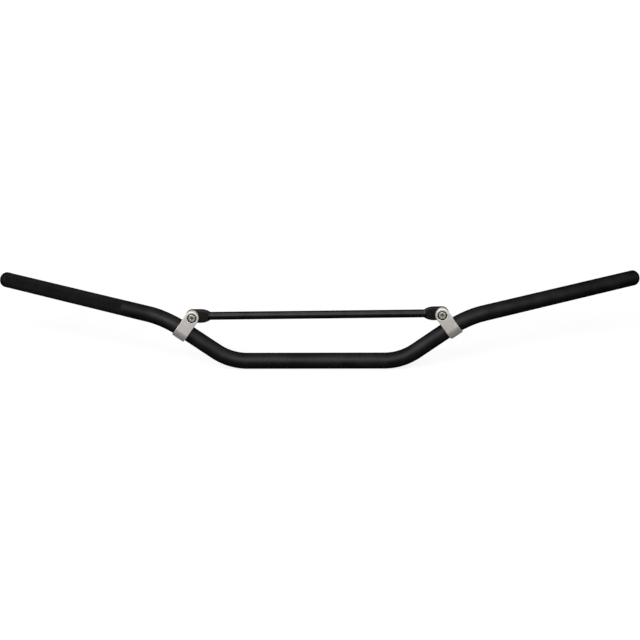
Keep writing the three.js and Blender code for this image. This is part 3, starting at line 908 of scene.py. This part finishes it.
def add_lock_nut(side_name):
    screw = chosen("screw")
    front, small, hole = screw.nut_front, screw.edge, screw.hole / 2
    rear = front + screw.nut_height
    step = rear - screw.collar_height
    corner = screw.nut / math.sqrt(3)
    chamfer = corner - screw.nut / 2
    collar = screw.collar / 2
    rim = screw.collar_height - screw.ring_height
    piece = prism(side_name + "_lock_nut_crimped", hexagon(screw.nut), front, rear)
    bevelled = turned("bevelled", [
        (0, front), (screw.nut / 2 - small, front), (corner, front + chamfer * screw.nut_lead),
        (corner, step - chamfer * screw.nut_fall), (collar + small, step), (collar, step + small),
        (collar, rear - rim), (collar - rim * ROUND_MIDDLE, rear - rim * ROUND_MIDDLE),
        (collar - rim * screw.crimp, rear), (0, rear),
    ], screw.round_sides)
    combine(piece, [bevelled], "INTERSECT")
    far = rear + screw.nut_height
    through = turned("through", [
        (0, -far), (hole + far, -far), (hole + chamfer, front - TOUCH), (hole, front + chamfer),
        (hole, far), (0, far),
    ], screw.hole_sides)
    seat = rear - screw.ring_height - small
    recess = drilled("recess", screw.ring / 2 + small, seat, far, screw.hole_sides)
    combine(piece, [through, recess])
    fitted(piece, side_name, "_lock_nut", "bar", "zinc_steel", "bright_zinc_steel", FINE_SHARP)


def add_nut_ring(side_name):
    screw = chosen("screw")
    rear = screw.nut_front + screw.nut_height
    front = rear - screw.ring_height
    outer, hole, small = screw.ring / 2, screw.hole / 2, screw.edge
    profile = [(hole, front), (outer, front), (outer, rear - small), (outer - small, rear)]
    profile += quarter_arc((hole + 2 * small, rear - 2 * small), 2 * small, 4, quarter=1)
    piece = turned(side_name + "_nut_ring_pressed", profile, screw.ring_sides, wrap=True)
    fitted(piece, side_name, "_nut_ring", "bar", "white_nylon", "natural_white_nylon")


# The end plugs

def add_end_plug(side_name):
    side = SIDES[side_name]
    bar, plug, clamp = chosen("bar"), chosen("plug"), chosen("clamp")
    radius, edge = bar.diameter / 2, plug.edge
    rib = radius - bar.wall - clamp.gap
    core = rib - plug.rib_height
    end = plug.rib_count * plug.rib_pitch + plug.tip
    profile = [(0, -end), (core - plug.tip_taper - edge, -end), (core - plug.tip_taper, edge - end)]
    for k in reversed(range(plug.rib_count)):
        top = -plug.rib_pitch * k - plug.rib_width
        bottom = top - plug.rib_width
        profile += [(core, bottom), (rib - edge, bottom + plug.rib_width / 2 - edge)]
        profile += [(rib, bottom + plug.rib_width / 2), (rib, top - edge), (rib - edge, top)]
        profile += [(core, top)]
    profile += [(core, 0)] + quarter_arc((radius - edge, edge), edge, 3)
    for k in range(plug.dome_steps + 1):
        turn = math.pi / 2 * k / plug.dome_steps
        across = plug.crown + (radius - plug.crown) * math.cos(turn)
        profile.append((across, plug.collar + plug.dome * math.sin(turn)))
    # a shallow gate mark in the middle of the crown
    top = plug.collar + plug.dome
    profile += [(plug.crown * plug.gate, top), (plug.crown * plug.gate_floor, top - edge)]
    profile += [(0, top - edge)]
    piece = turned(side_name + "_end_plug_moulded", profile, chosen("screw").round_sides)
    smooth_shaded(piece)
    outwards = mirrored(directions()[1], side)
    centre = mirrored(right_corners()[2], side) + outwards * clamp.gap
    turn = Vector((0, 1, 0)).rotation_difference(outwards).to_matrix().to_4x4()
    piece.data.transform(Matrix.Translation(centre) @ turn)
    body = side_name + "_plug"
    dressed(piece, side_name + "_end_plug", body, "black_plastic", "moulded_black_plastic")


# Shader nodes

def node(tree, kind, inputs=None, **settings):
    """Adds a node; an input is a value or another node's output"""
    made = tree.nodes.new(kind)
    for key, value in settings.items():
        setattr(made, key, value)
    for key, value in (inputs or {}).items():
        if isinstance(value, bpy.types.NodeSocket):
            tree.links.new(value, made.inputs[key])
        else:
            made.inputs[key].default_value = value
    return made


def maths(tree, operation, a, b=0.5, clamp=False):
    made = node(tree, "ShaderNodeMath", {0: a, 1: b}, operation=operation, use_clamp=clamp)
    return made.outputs[0]


def between(tree, value, low, high, to_low=0.0, to_high=1.0):
    """Maps a value from one range to another, kept inside it"""
    made = node(tree, "ShaderNodeMapRange", {
        "Value": value, "From Min": low, "From Max": high, "To Min": to_low, "To Max": to_high,
    }, clamp=True)
    return made.outputs["Result"]


def object_place(tree):
    return node(tree, "ShaderNodeTexCoord").outputs["Object"]


def noise(tree, place, scale, detail, roughness=0.5):
    return node(tree, "ShaderNodeTexNoise", {
        "Vector": place, "Scale": scale, "Detail": detail, "Roughness": roughness,
    }).outputs["Fac"]


def blend_colours(tree, share_of_second, first, second):
    made = node(tree, "ShaderNodeMix", {"Factor": share_of_second}, data_type="RGBA")
    for key, value in ((6, first), (7, second)):
        if isinstance(value, bpy.types.NodeSocket):
            tree.links.new(value, made.inputs[key])
        else:
            made.inputs[key].default_value = (*value, 1)
    return made.outputs[2]


# Values of a noise that count as its low and high end
NOISE_LOW, NOISE_HIGH = 0.3, 0.7
SOFT_LOW, SOFT_HIGH = 0.35, 0.65
BREAK_LOW, BREAK_HIGH = 0.35, 0.6


def shared_group(inputs, outputs):
    """Turns a function into one that returns its shader node group, built on the first call"""
    def wrap(build):
        def get():
            found = bpy.data.node_groups.get(build.__name__)
            if found:
                return found
            group = bpy.data.node_groups.new(build.__name__, "ShaderNodeTree")
            for label, default in inputs.items():
                kind = "NodeSocketVector" if isinstance(default, tuple) else "NodeSocketFloat"
                socket = group.interface.new_socket(label, in_out="INPUT", socket_type=kind)
                socket.default_value = default
            for label in outputs:
                group.interface.new_socket(label, in_out="OUTPUT", socket_type="NodeSocketFloat")
            values = build(group, node(group, "NodeGroupInput").outputs)
            node(group, "NodeGroupOutput", dict(zip(outputs, values)))
            return group
        return get
    return wrap


@shared_group({"Grain Scale": 2500.0, "Mottle Scale": 60.0, "Pit Share": 0.35},
              ["Grain", "Mottle", "Height"])
def surface_grain(group, given):
    """Fine grain and slow mottling, as two values and a height"""
    place = object_place(group)
    grain = noise(group, place, given["Grain Scale"], 3.0, 0.6)
    mottle = noise(group, place, given["Mottle Scale"], 5.0, 0.55)
    pits = node(group, "ShaderNodeTexVoronoi", {
        "Vector": place, "Scale": maths(group, "MULTIPLY", given["Grain Scale"], 0.6),
    }).outputs["Distance"]
    rest = maths(group, "SUBTRACT", 1.0, given["Pit Share"])
    height = maths(group, "ADD", maths(group, "MULTIPLY", grain, rest),
                   maths(group, "MULTIPLY", pits, given["Pit Share"]))
    return (between(group, grain, NOISE_LOW, NOISE_HIGH),
            between(group, mottle, SOFT_LOW, SOFT_HIGH), height)


@shared_group({"Width": 0.0006, "Strength": 3.0, "Break Scale": 400.0, "Least": 0.35}, ["Mask"])
def edge_wear(group, given):
    """Where a surface turns sharply, broken up by noise"""
    rounded = node(group, "ShaderNodeBevel", {"Radius": given["Width"]}, samples=6).outputs["Normal"]
    true = node(group, "ShaderNodeNewGeometry").outputs["Normal"]
    same = node(group, "ShaderNodeVectorMath", {0: rounded, 1: true}, operation="DOT_PRODUCT")
    turned_away = maths(group, "SUBTRACT", 1.0, same.outputs["Value"], clamp=True)
    spots = noise(group, object_place(group), given["Break Scale"], 4.0)
    broken = between(group, spots, BREAK_LOW, BREAK_HIGH, given["Least"], 1.0)
    strong = maths(group, "MULTIPLY", turned_away, given["Strength"])
    return [maths(group, "MULTIPLY", strong, broken, clamp=True)]


@shared_group({"Reach": 0.0028, "Open": 0.8, "Closed": 0.45, "Break Scale": 900.0, "Break": 0.05},
              ["Mask"])
def crevice_dirt(group, given):
    """Painted shade where a surface lies in a narrow gap or an inner corner, broken up by noise"""
    open_share = node(group, "ShaderNodeAmbientOcclusion", {"Distance": given["Reach"]},
                      samples=8).outputs["AO"]
    spots = noise(group, object_place(group), given["Break Scale"], 3.0)
    less = maths(group, "MULTIPLY", given["Break"], -1.0)
    shaken = maths(group, "ADD", open_share,
                   between(group, spots, NOISE_LOW, NOISE_HIGH, less, given["Break"]))
    return [between(group, shaken, given["Closed"], given["Open"], 1.0, 0.0)]


@shared_group({"Stretch": (2500.0, 2500.0, 60.0)}, ["Lines"])
def fine_marks(group, given):
    """Thin marks along one direction, from brushing or drawing"""
    stretched = node(group, "ShaderNodeVectorMath", {0: object_place(group), 1: given["Stretch"]},
                     operation="MULTIPLY").outputs["Vector"]
    return [between(group, noise(group, stretched, 1.0, 3.0, 0.7), NOISE_LOW, NOISE_HIGH)]


# Finishes by the name of their material. "base" and "rough" name values of the Finishes group,
# "tones" are the darkest and lightest shares of the base colour, "shifts" add to the roughness by
# the value that they name, "worn" is a colour of that group or a share of the base colour, and
# "bump" is a depth in metres with its strength.
SATIN = {
    "base": "coat", "edge": "coat_edge", "grain": (2600.0, 45.0), "tones": (0.8, 1.25),
    "shifts": (("Mottle", -0.04, 0.05), ("Grain", -0.02, 0.03)),
    "wear": (0.0008, 0.35, 900.0), "worn": "coat_worn", "bump": (0.00002, 0.5),
}
LOOKS = {
    "satin_black_tube": {**SATIN, "rough": "tube_rough"},
    "satin_black_crossbar": {**SATIN, "rough": "rod_rough"},
    "knurled_black_coat": {
        "base": "knurl", "edge": "knurl_edge", "rough": "knurl_rough", "grain": (3200.0, 90.0),
        "tones": (0.9, 1.2), "shifts": (("Grain", -0.05, 0.1),), "bump": (0.00004, 0.6),
    },
    "moulded_black_plastic": {
        "base": "plastic", "edge": "plastic_edge", "rough": "plastic_rough",
        "grain": (1800.0, 120.0), "tones": (0.8, 1.3), "shifts": (("Grain", -0.04, 0.06),),
        "bump": (0.00005, 0.6),
    },
    "blasted_aluminium": {
        "base": "aluminium", "edge": "aluminium_edge", "rough": "aluminium_rough",
        "grain": (3000.0, 180.0), "tones": (0.93, 1.05), "marks": (3000.0, 700.0, 300.0),
        "shifts": (("Lines", -0.03, 0.03), ("Grain", -0.03, 0.05), ("Wear", 0.0, -0.12)),
        # the clamps take painted shade in narrow gaps and inner corners
        "wear": (0.0007, 2.5, 500.0), "worn": 1.4, "dirt": True, "ridges": 0.25,
        "bump": (0.00003, 0.6),
    },
    "bright_zinc_steel": {
        "base": "zinc", "rough": "zinc_rough", "grain": (4000.0, 350.0), "tones": (0.9, 1.06),
        "marks": (1500.0, 4000.0, 1500.0), "shifts": (("Lines", -0.04, 0.06), ("Mottle", -0.03, 0.05)),
        # screws and nuts take painted shade in narrow gaps and inner corners
        "wear": (0.0003, 1.5, 1500.0), "worn": 1.25, "dirt": True, "bump": (0.00001, 0.5),
    },
    "black_oxide_steel": {
        "base": "oxide", "rough": "oxide_rough", "grain": (3500.0, 300.0), "tones": (0.7, 1.5),
        "shifts": (("Grain", -0.05, 0.06),), "wear": (0.0002, 0.6, 1800.0), "worn": "oxide_worn",
        "gloss": 0.2, "bump": (0.00001, 0.5),
    },
    "natural_white_nylon": {
        "base": "nylon", "rough": "nylon_rough", "grain": (2200.0, 260.0), "tones": (0.92, 1.0),
        "shifts": (("Grain", -0.05, 0.05),), "gloss": 0.5, "bump": (0.00003, 0.4),
    },
}


def placed(tree, group, *values):
    """Adds a node group with the given values for its first inputs"""
    made = node(tree, "ShaderNodeGroup", node_tree=group)
    for socket, value in zip(made.inputs, values):
        socket.default_value = value
    return made.outputs


def scaled(value, factor):
    return tuple(channel * factor for channel in value)


def finished(name):
    """The material of that name, made from its row in LOOKS on the first call"""
    found = bpy.data.materials.get(name)
    if found:
        return found
    look, finish = LOOKS[name], chosen("finish")
    base = getattr(finish, look["base"])
    material = bpy.data.materials.new(name)
    material.use_nodes = True
    tree = material.node_tree
    shader = tree.nodes["Principled BSDF"]
    values = dict(placed(tree, surface_grain(), *look["grain"]).items())
    dark, light = look["tones"]
    paint = blend_colours(tree, values["Mottle"], scaled(base, dark), scaled(base, light))
    height = values["Height"]
    if "marks" in look:
        values["Lines"] = placed(tree, fine_marks(), look["marks"])["Lines"]
    if "ridges" in look:
        ridges = maths(tree, "MULTIPLY", values["Lines"], look["ridges"])
        height = maths(tree, "ADD", height, ridges)
    if "wear" in look:
        values["Wear"] = placed(tree, edge_wear(), *look["wear"])["Mask"]
        worn = look["worn"]
        worn = getattr(finish, worn) if isinstance(worn, str) else scaled(base, worn)
        paint = blend_colours(tree, values["Wear"], paint, worn)
    # darkens the colour in narrow gaps and inner corners: painted shade
    if "dirt" in look:
        paint = blend_colours(tree, placed(tree, crevice_dirt())["Mask"], paint, finish.dirt)
    rough = getattr(finish, look["rough"])
    for source, low, high in look["shifts"]:
        rough = maths(tree, "ADD", rough, between(tree, values[source], 0, 1, low, high))
    tree.links.new(paint, shader.inputs["Base Color"])
    tree.links.new(rough, shader.inputs["Roughness"])
    if "gloss" in look:
        shader.inputs["Specular IOR Level"].default_value = look["gloss"]
    else:
        shader.inputs["Metallic"].default_value = 1
    if "edge" in look:
        tint = getattr(finish, look["edge"])
        shader.inputs["Specular Tint"].default_value = (tint, tint, tint, 1)
    depth, strength = look["bump"]
    bump = node(tree, "ShaderNodeBump", {"Height": height, "Distance": depth, "Strength": strength})
    tree.links.new(bump.outputs["Normal"], shader.inputs["Normal"])
    return material


# The studio

def add_floor():
    studio = chosen("studio")
    half = studio.floor_size / 2
    low = -chosen("bar").diameter / 2 - studio.floor_gap
    corners = [(-half, -half, low), (half, -half, low), (half, half, low), (-half, half, low)]
    floor = bare_object("studio_floor", corners, [(0, 1, 2, 3)])
    material = bpy.data.materials.new("pale_floor")
    material.use_nodes = True
    tree = material.node_tree
    tree.nodes.clear()
    paint = node(tree, "ShaderNodeBsdfDiffuse", {"Color": (studio.floor,) * 3 + (1,)})
    away = node(tree, "ShaderNodeVectorMath", {
        0: object_place(tree), 1: (studio.across_share, 1, 0),
    }, operation="MULTIPLY").outputs["Vector"]
    away = node(tree, "ShaderNodeVectorMath", {0: away}, operation="LENGTH").outputs["Value"]
    direct = between(tree, away, studio.lift_from, studio.lift_to, studio.lift_near, 1)
    mirrored_white = between(tree, away, studio.mirror_from, studio.mirror_to, 0, 1)
    path = node(tree, "ShaderNodeLightPath").outputs
    through = maths(tree, "MAXIMUM", path["Is Glossy Ray"], path["Is Transmission Ray"])
    lift = node(tree, "ShaderNodeEmission", {
        "Color": (1, 1, 1, 1),
        "Strength": maths(tree, "ADD", maths(tree, "MULTIPLY", path["Is Camera Ray"], direct),
                          maths(tree, "MULTIPLY", through, mirrored_white)),
    })
    both = node(tree, "ShaderNodeAddShader", {0: paint.outputs[0], 1: lift.outputs[0]})
    node(tree, "ShaderNodeOutputMaterial", {"Surface": both.outputs[0]})
    floor.data.materials.append(material)


def add_world():
    """Soft light from all around, seen as white by camera, mirror and see-through rays"""
    world = bpy.data.worlds.new("studio_world")
    world.use_nodes = True
    tree = world.node_tree
    tree.nodes.clear()
    path = node(tree, "ShaderNodeLightPath").outputs
    seen = maths(tree, "ADD", path["Is Camera Ray"], path["Is Glossy Ray"])
    seen = maths(tree, "ADD", seen, path["Is Transmission Ray"], clamp=True)
    strength = between(tree, seen, 0, 1, chosen("studio").ambient, 1)
    glow = node(tree, "ShaderNodeBackground", {"Color": (1, 1, 1, 1), "Strength": strength})
    node(tree, "ShaderNodeOutputWorld", {"Surface": glow.outputs[0]})
    bpy.context.scene.world = world


def add_lamp(name, place, aim, width, height, power):
    lamp = bpy.data.lights.new(name, "AREA")
    lamp.shape = "RECTANGLE"
    lamp.size, lamp.size_y = width, height
    lamp.energy = power
    holder = linked(name, lamp)
    holder.location = place
    holder.rotation_euler = (Vector(aim) - Vector(place)).to_track_quat("-Z", "Y").to_euler()


def add_lamps():
    studio = chosen("studio")
    add_lamp("key_softbox", studio.key_place, studio.key_aim, studio.key_width, studio.key_height,
             studio.key_power)
    for name, side in SIDES.items():
        place, aim = mirrored(studio.side_place, side), mirrored(studio.side_aim, side)
        width = studio.side_width
        add_lamp(name + "_softbox", place, aim, width, width, studio.side_power)


def add_camera():
    """A camera at the photograph's angle; the bar is turned a little against it"""
    studio = chosen("studio")
    camera = bpy.data.cameras.new("photo_camera")
    camera.sensor_fit = "HORIZONTAL"
    camera.sensor_width = studio.sensor
    camera.lens = studio.lens
    camera.clip_start, camera.clip_end = studio.clip_near, studio.clip_far
    high, flat = math.sin(studio.elevation), math.cos(studio.elevation)
    back = Vector((0, -flat, high))
    level_right, level_up = Vector((1, 0, 0)), Vector((0, high, flat))
    tilt, upright = math.sin(studio.roll), math.cos(studio.roll)
    right = level_right * upright - level_up * tilt
    up = level_right * tilt + level_up * upright
    place = Vector((studio.aim_across, 0, studio.aim_up)) + back * studio.distance
    axes = Matrix((right, up, back)).transposed().to_4x4()
    turn = Matrix.Rotation(-studio.yaw, 4, "Z")
    holder = linked("photo_camera", camera)
    holder.matrix_world = turn @ Matrix.Translation(place) @ axes
    bpy.context.scene.camera = holder


# The operators

class AddBarTube(bpy.types.Operator):
    """Adds the bent tube with its knurled band"""

    bl_idname = "handlebar.add_bar_tube"
    bl_label = "Bar tube"

    def execute(self, context):
        add_bar_tube()
        return {"FINISHED"}


class AddCrossbar(bpy.types.Operator):
    """Adds the forged crossbar"""

    bl_idname = "handlebar.add_crossbar"
    bl_label = "Crossbar"

    def execute(self, context):
        add_crossbar()
        return {"FINISHED"}


class AddClamps(bpy.types.Operator):
    """Adds the two crossbar clamps"""

    bl_idname = "handlebar.add_clamps"
    bl_label = "Clamps"

    def execute(self, context):
        for side_name in SIDES:
            add_clamp(side_name)
        return {"FINISHED"}


class AddScrews(bpy.types.Operator):
    """Adds the clamp screws and their washers"""

    bl_idname = "handlebar.add_screws"
    bl_label = "Screws and washers"

    def execute(self, context):
        for side_name in SIDES:
            add_clamp_screw(side_name)
            add_washer(side_name)
        return {"FINISHED"}


class AddLockNuts(bpy.types.Operator):
    """Adds the lock nuts and their nylon rings"""

    bl_idname = "handlebar.add_lock_nuts"
    bl_label = "Lock nuts"

    def execute(self, context):
        for side_name in SIDES:
            add_lock_nut(side_name)
            add_nut_ring(side_name)
        return {"FINISHED"}


class AddEndPlugs(bpy.types.Operator):
    """Adds the domed plugs in the tube's ends"""

    bl_idname = "handlebar.add_end_plugs"
    bl_label = "End plugs"

    def execute(self, context):
        for side_name in SIDES:
            add_end_plug(side_name)
        return {"FINISHED"}


class AddStudio(bpy.types.Operator):
    """Adds the floor, the lamps, the white background and the camera"""

    bl_idname = "handlebar.add_studio"
    bl_label = "Studio"

    def execute(self, context):
        add_floor()
        add_world()
        add_lamps()
        add_camera()
        context.scene.view_settings.view_transform = "Standard"
        return {"FINISHED"}


OPERATORS = (AddStudio, AddBarTube, AddCrossbar, AddClamps, AddScrews, AddLockNuts, AddEndPlugs)


class HandlebarPanel(bpy.types.Panel):
    """Lists the pieces and their sizes"""

    bl_idname = "VIEW3D_PT_handlebar"
    bl_label = "Handlebar"
    bl_space_type = "VIEW_3D"
    bl_region_type = "UI"
    bl_category = "Handlebar"

    def draw(self, context):
        for operator in OPERATORS:
            self.layout.operator(operator.bl_idname)
        for group, properties in GROUPS.items():
            box = self.layout.box()
            box.label(text=properties.__doc__)
            for key in properties.__annotations__:
                box.prop(chosen(group), key)


CLASSES = (*GROUPS.values(), *OPERATORS, HandlebarPanel)


def register():
    for made in CLASSES:
        bpy.utils.register_class(made)
    for group, properties in GROUPS.items():
        setattr(bpy.types.Scene, "handlebar_" + group, PointerProperty(type=properties))


def unregister():
    for group in GROUPS:
        delattr(bpy.types.Scene, "handlebar_" + group)
    for made in reversed(CLASSES):
        bpy.utils.unregister_class(made)


def main():
    register()
    bpy.ops.handlebar.add_studio()
    bpy.ops.handlebar.add_bar_tube()
    bpy.ops.handlebar.add_crossbar()
    bpy.ops.handlebar.add_clamps()
    bpy.ops.handlebar.add_screws()
    bpy.ops.handlebar.add_lock_nuts()
    bpy.ops.handlebar.add_end_plugs()


if __name__ == "__main__":
    main()
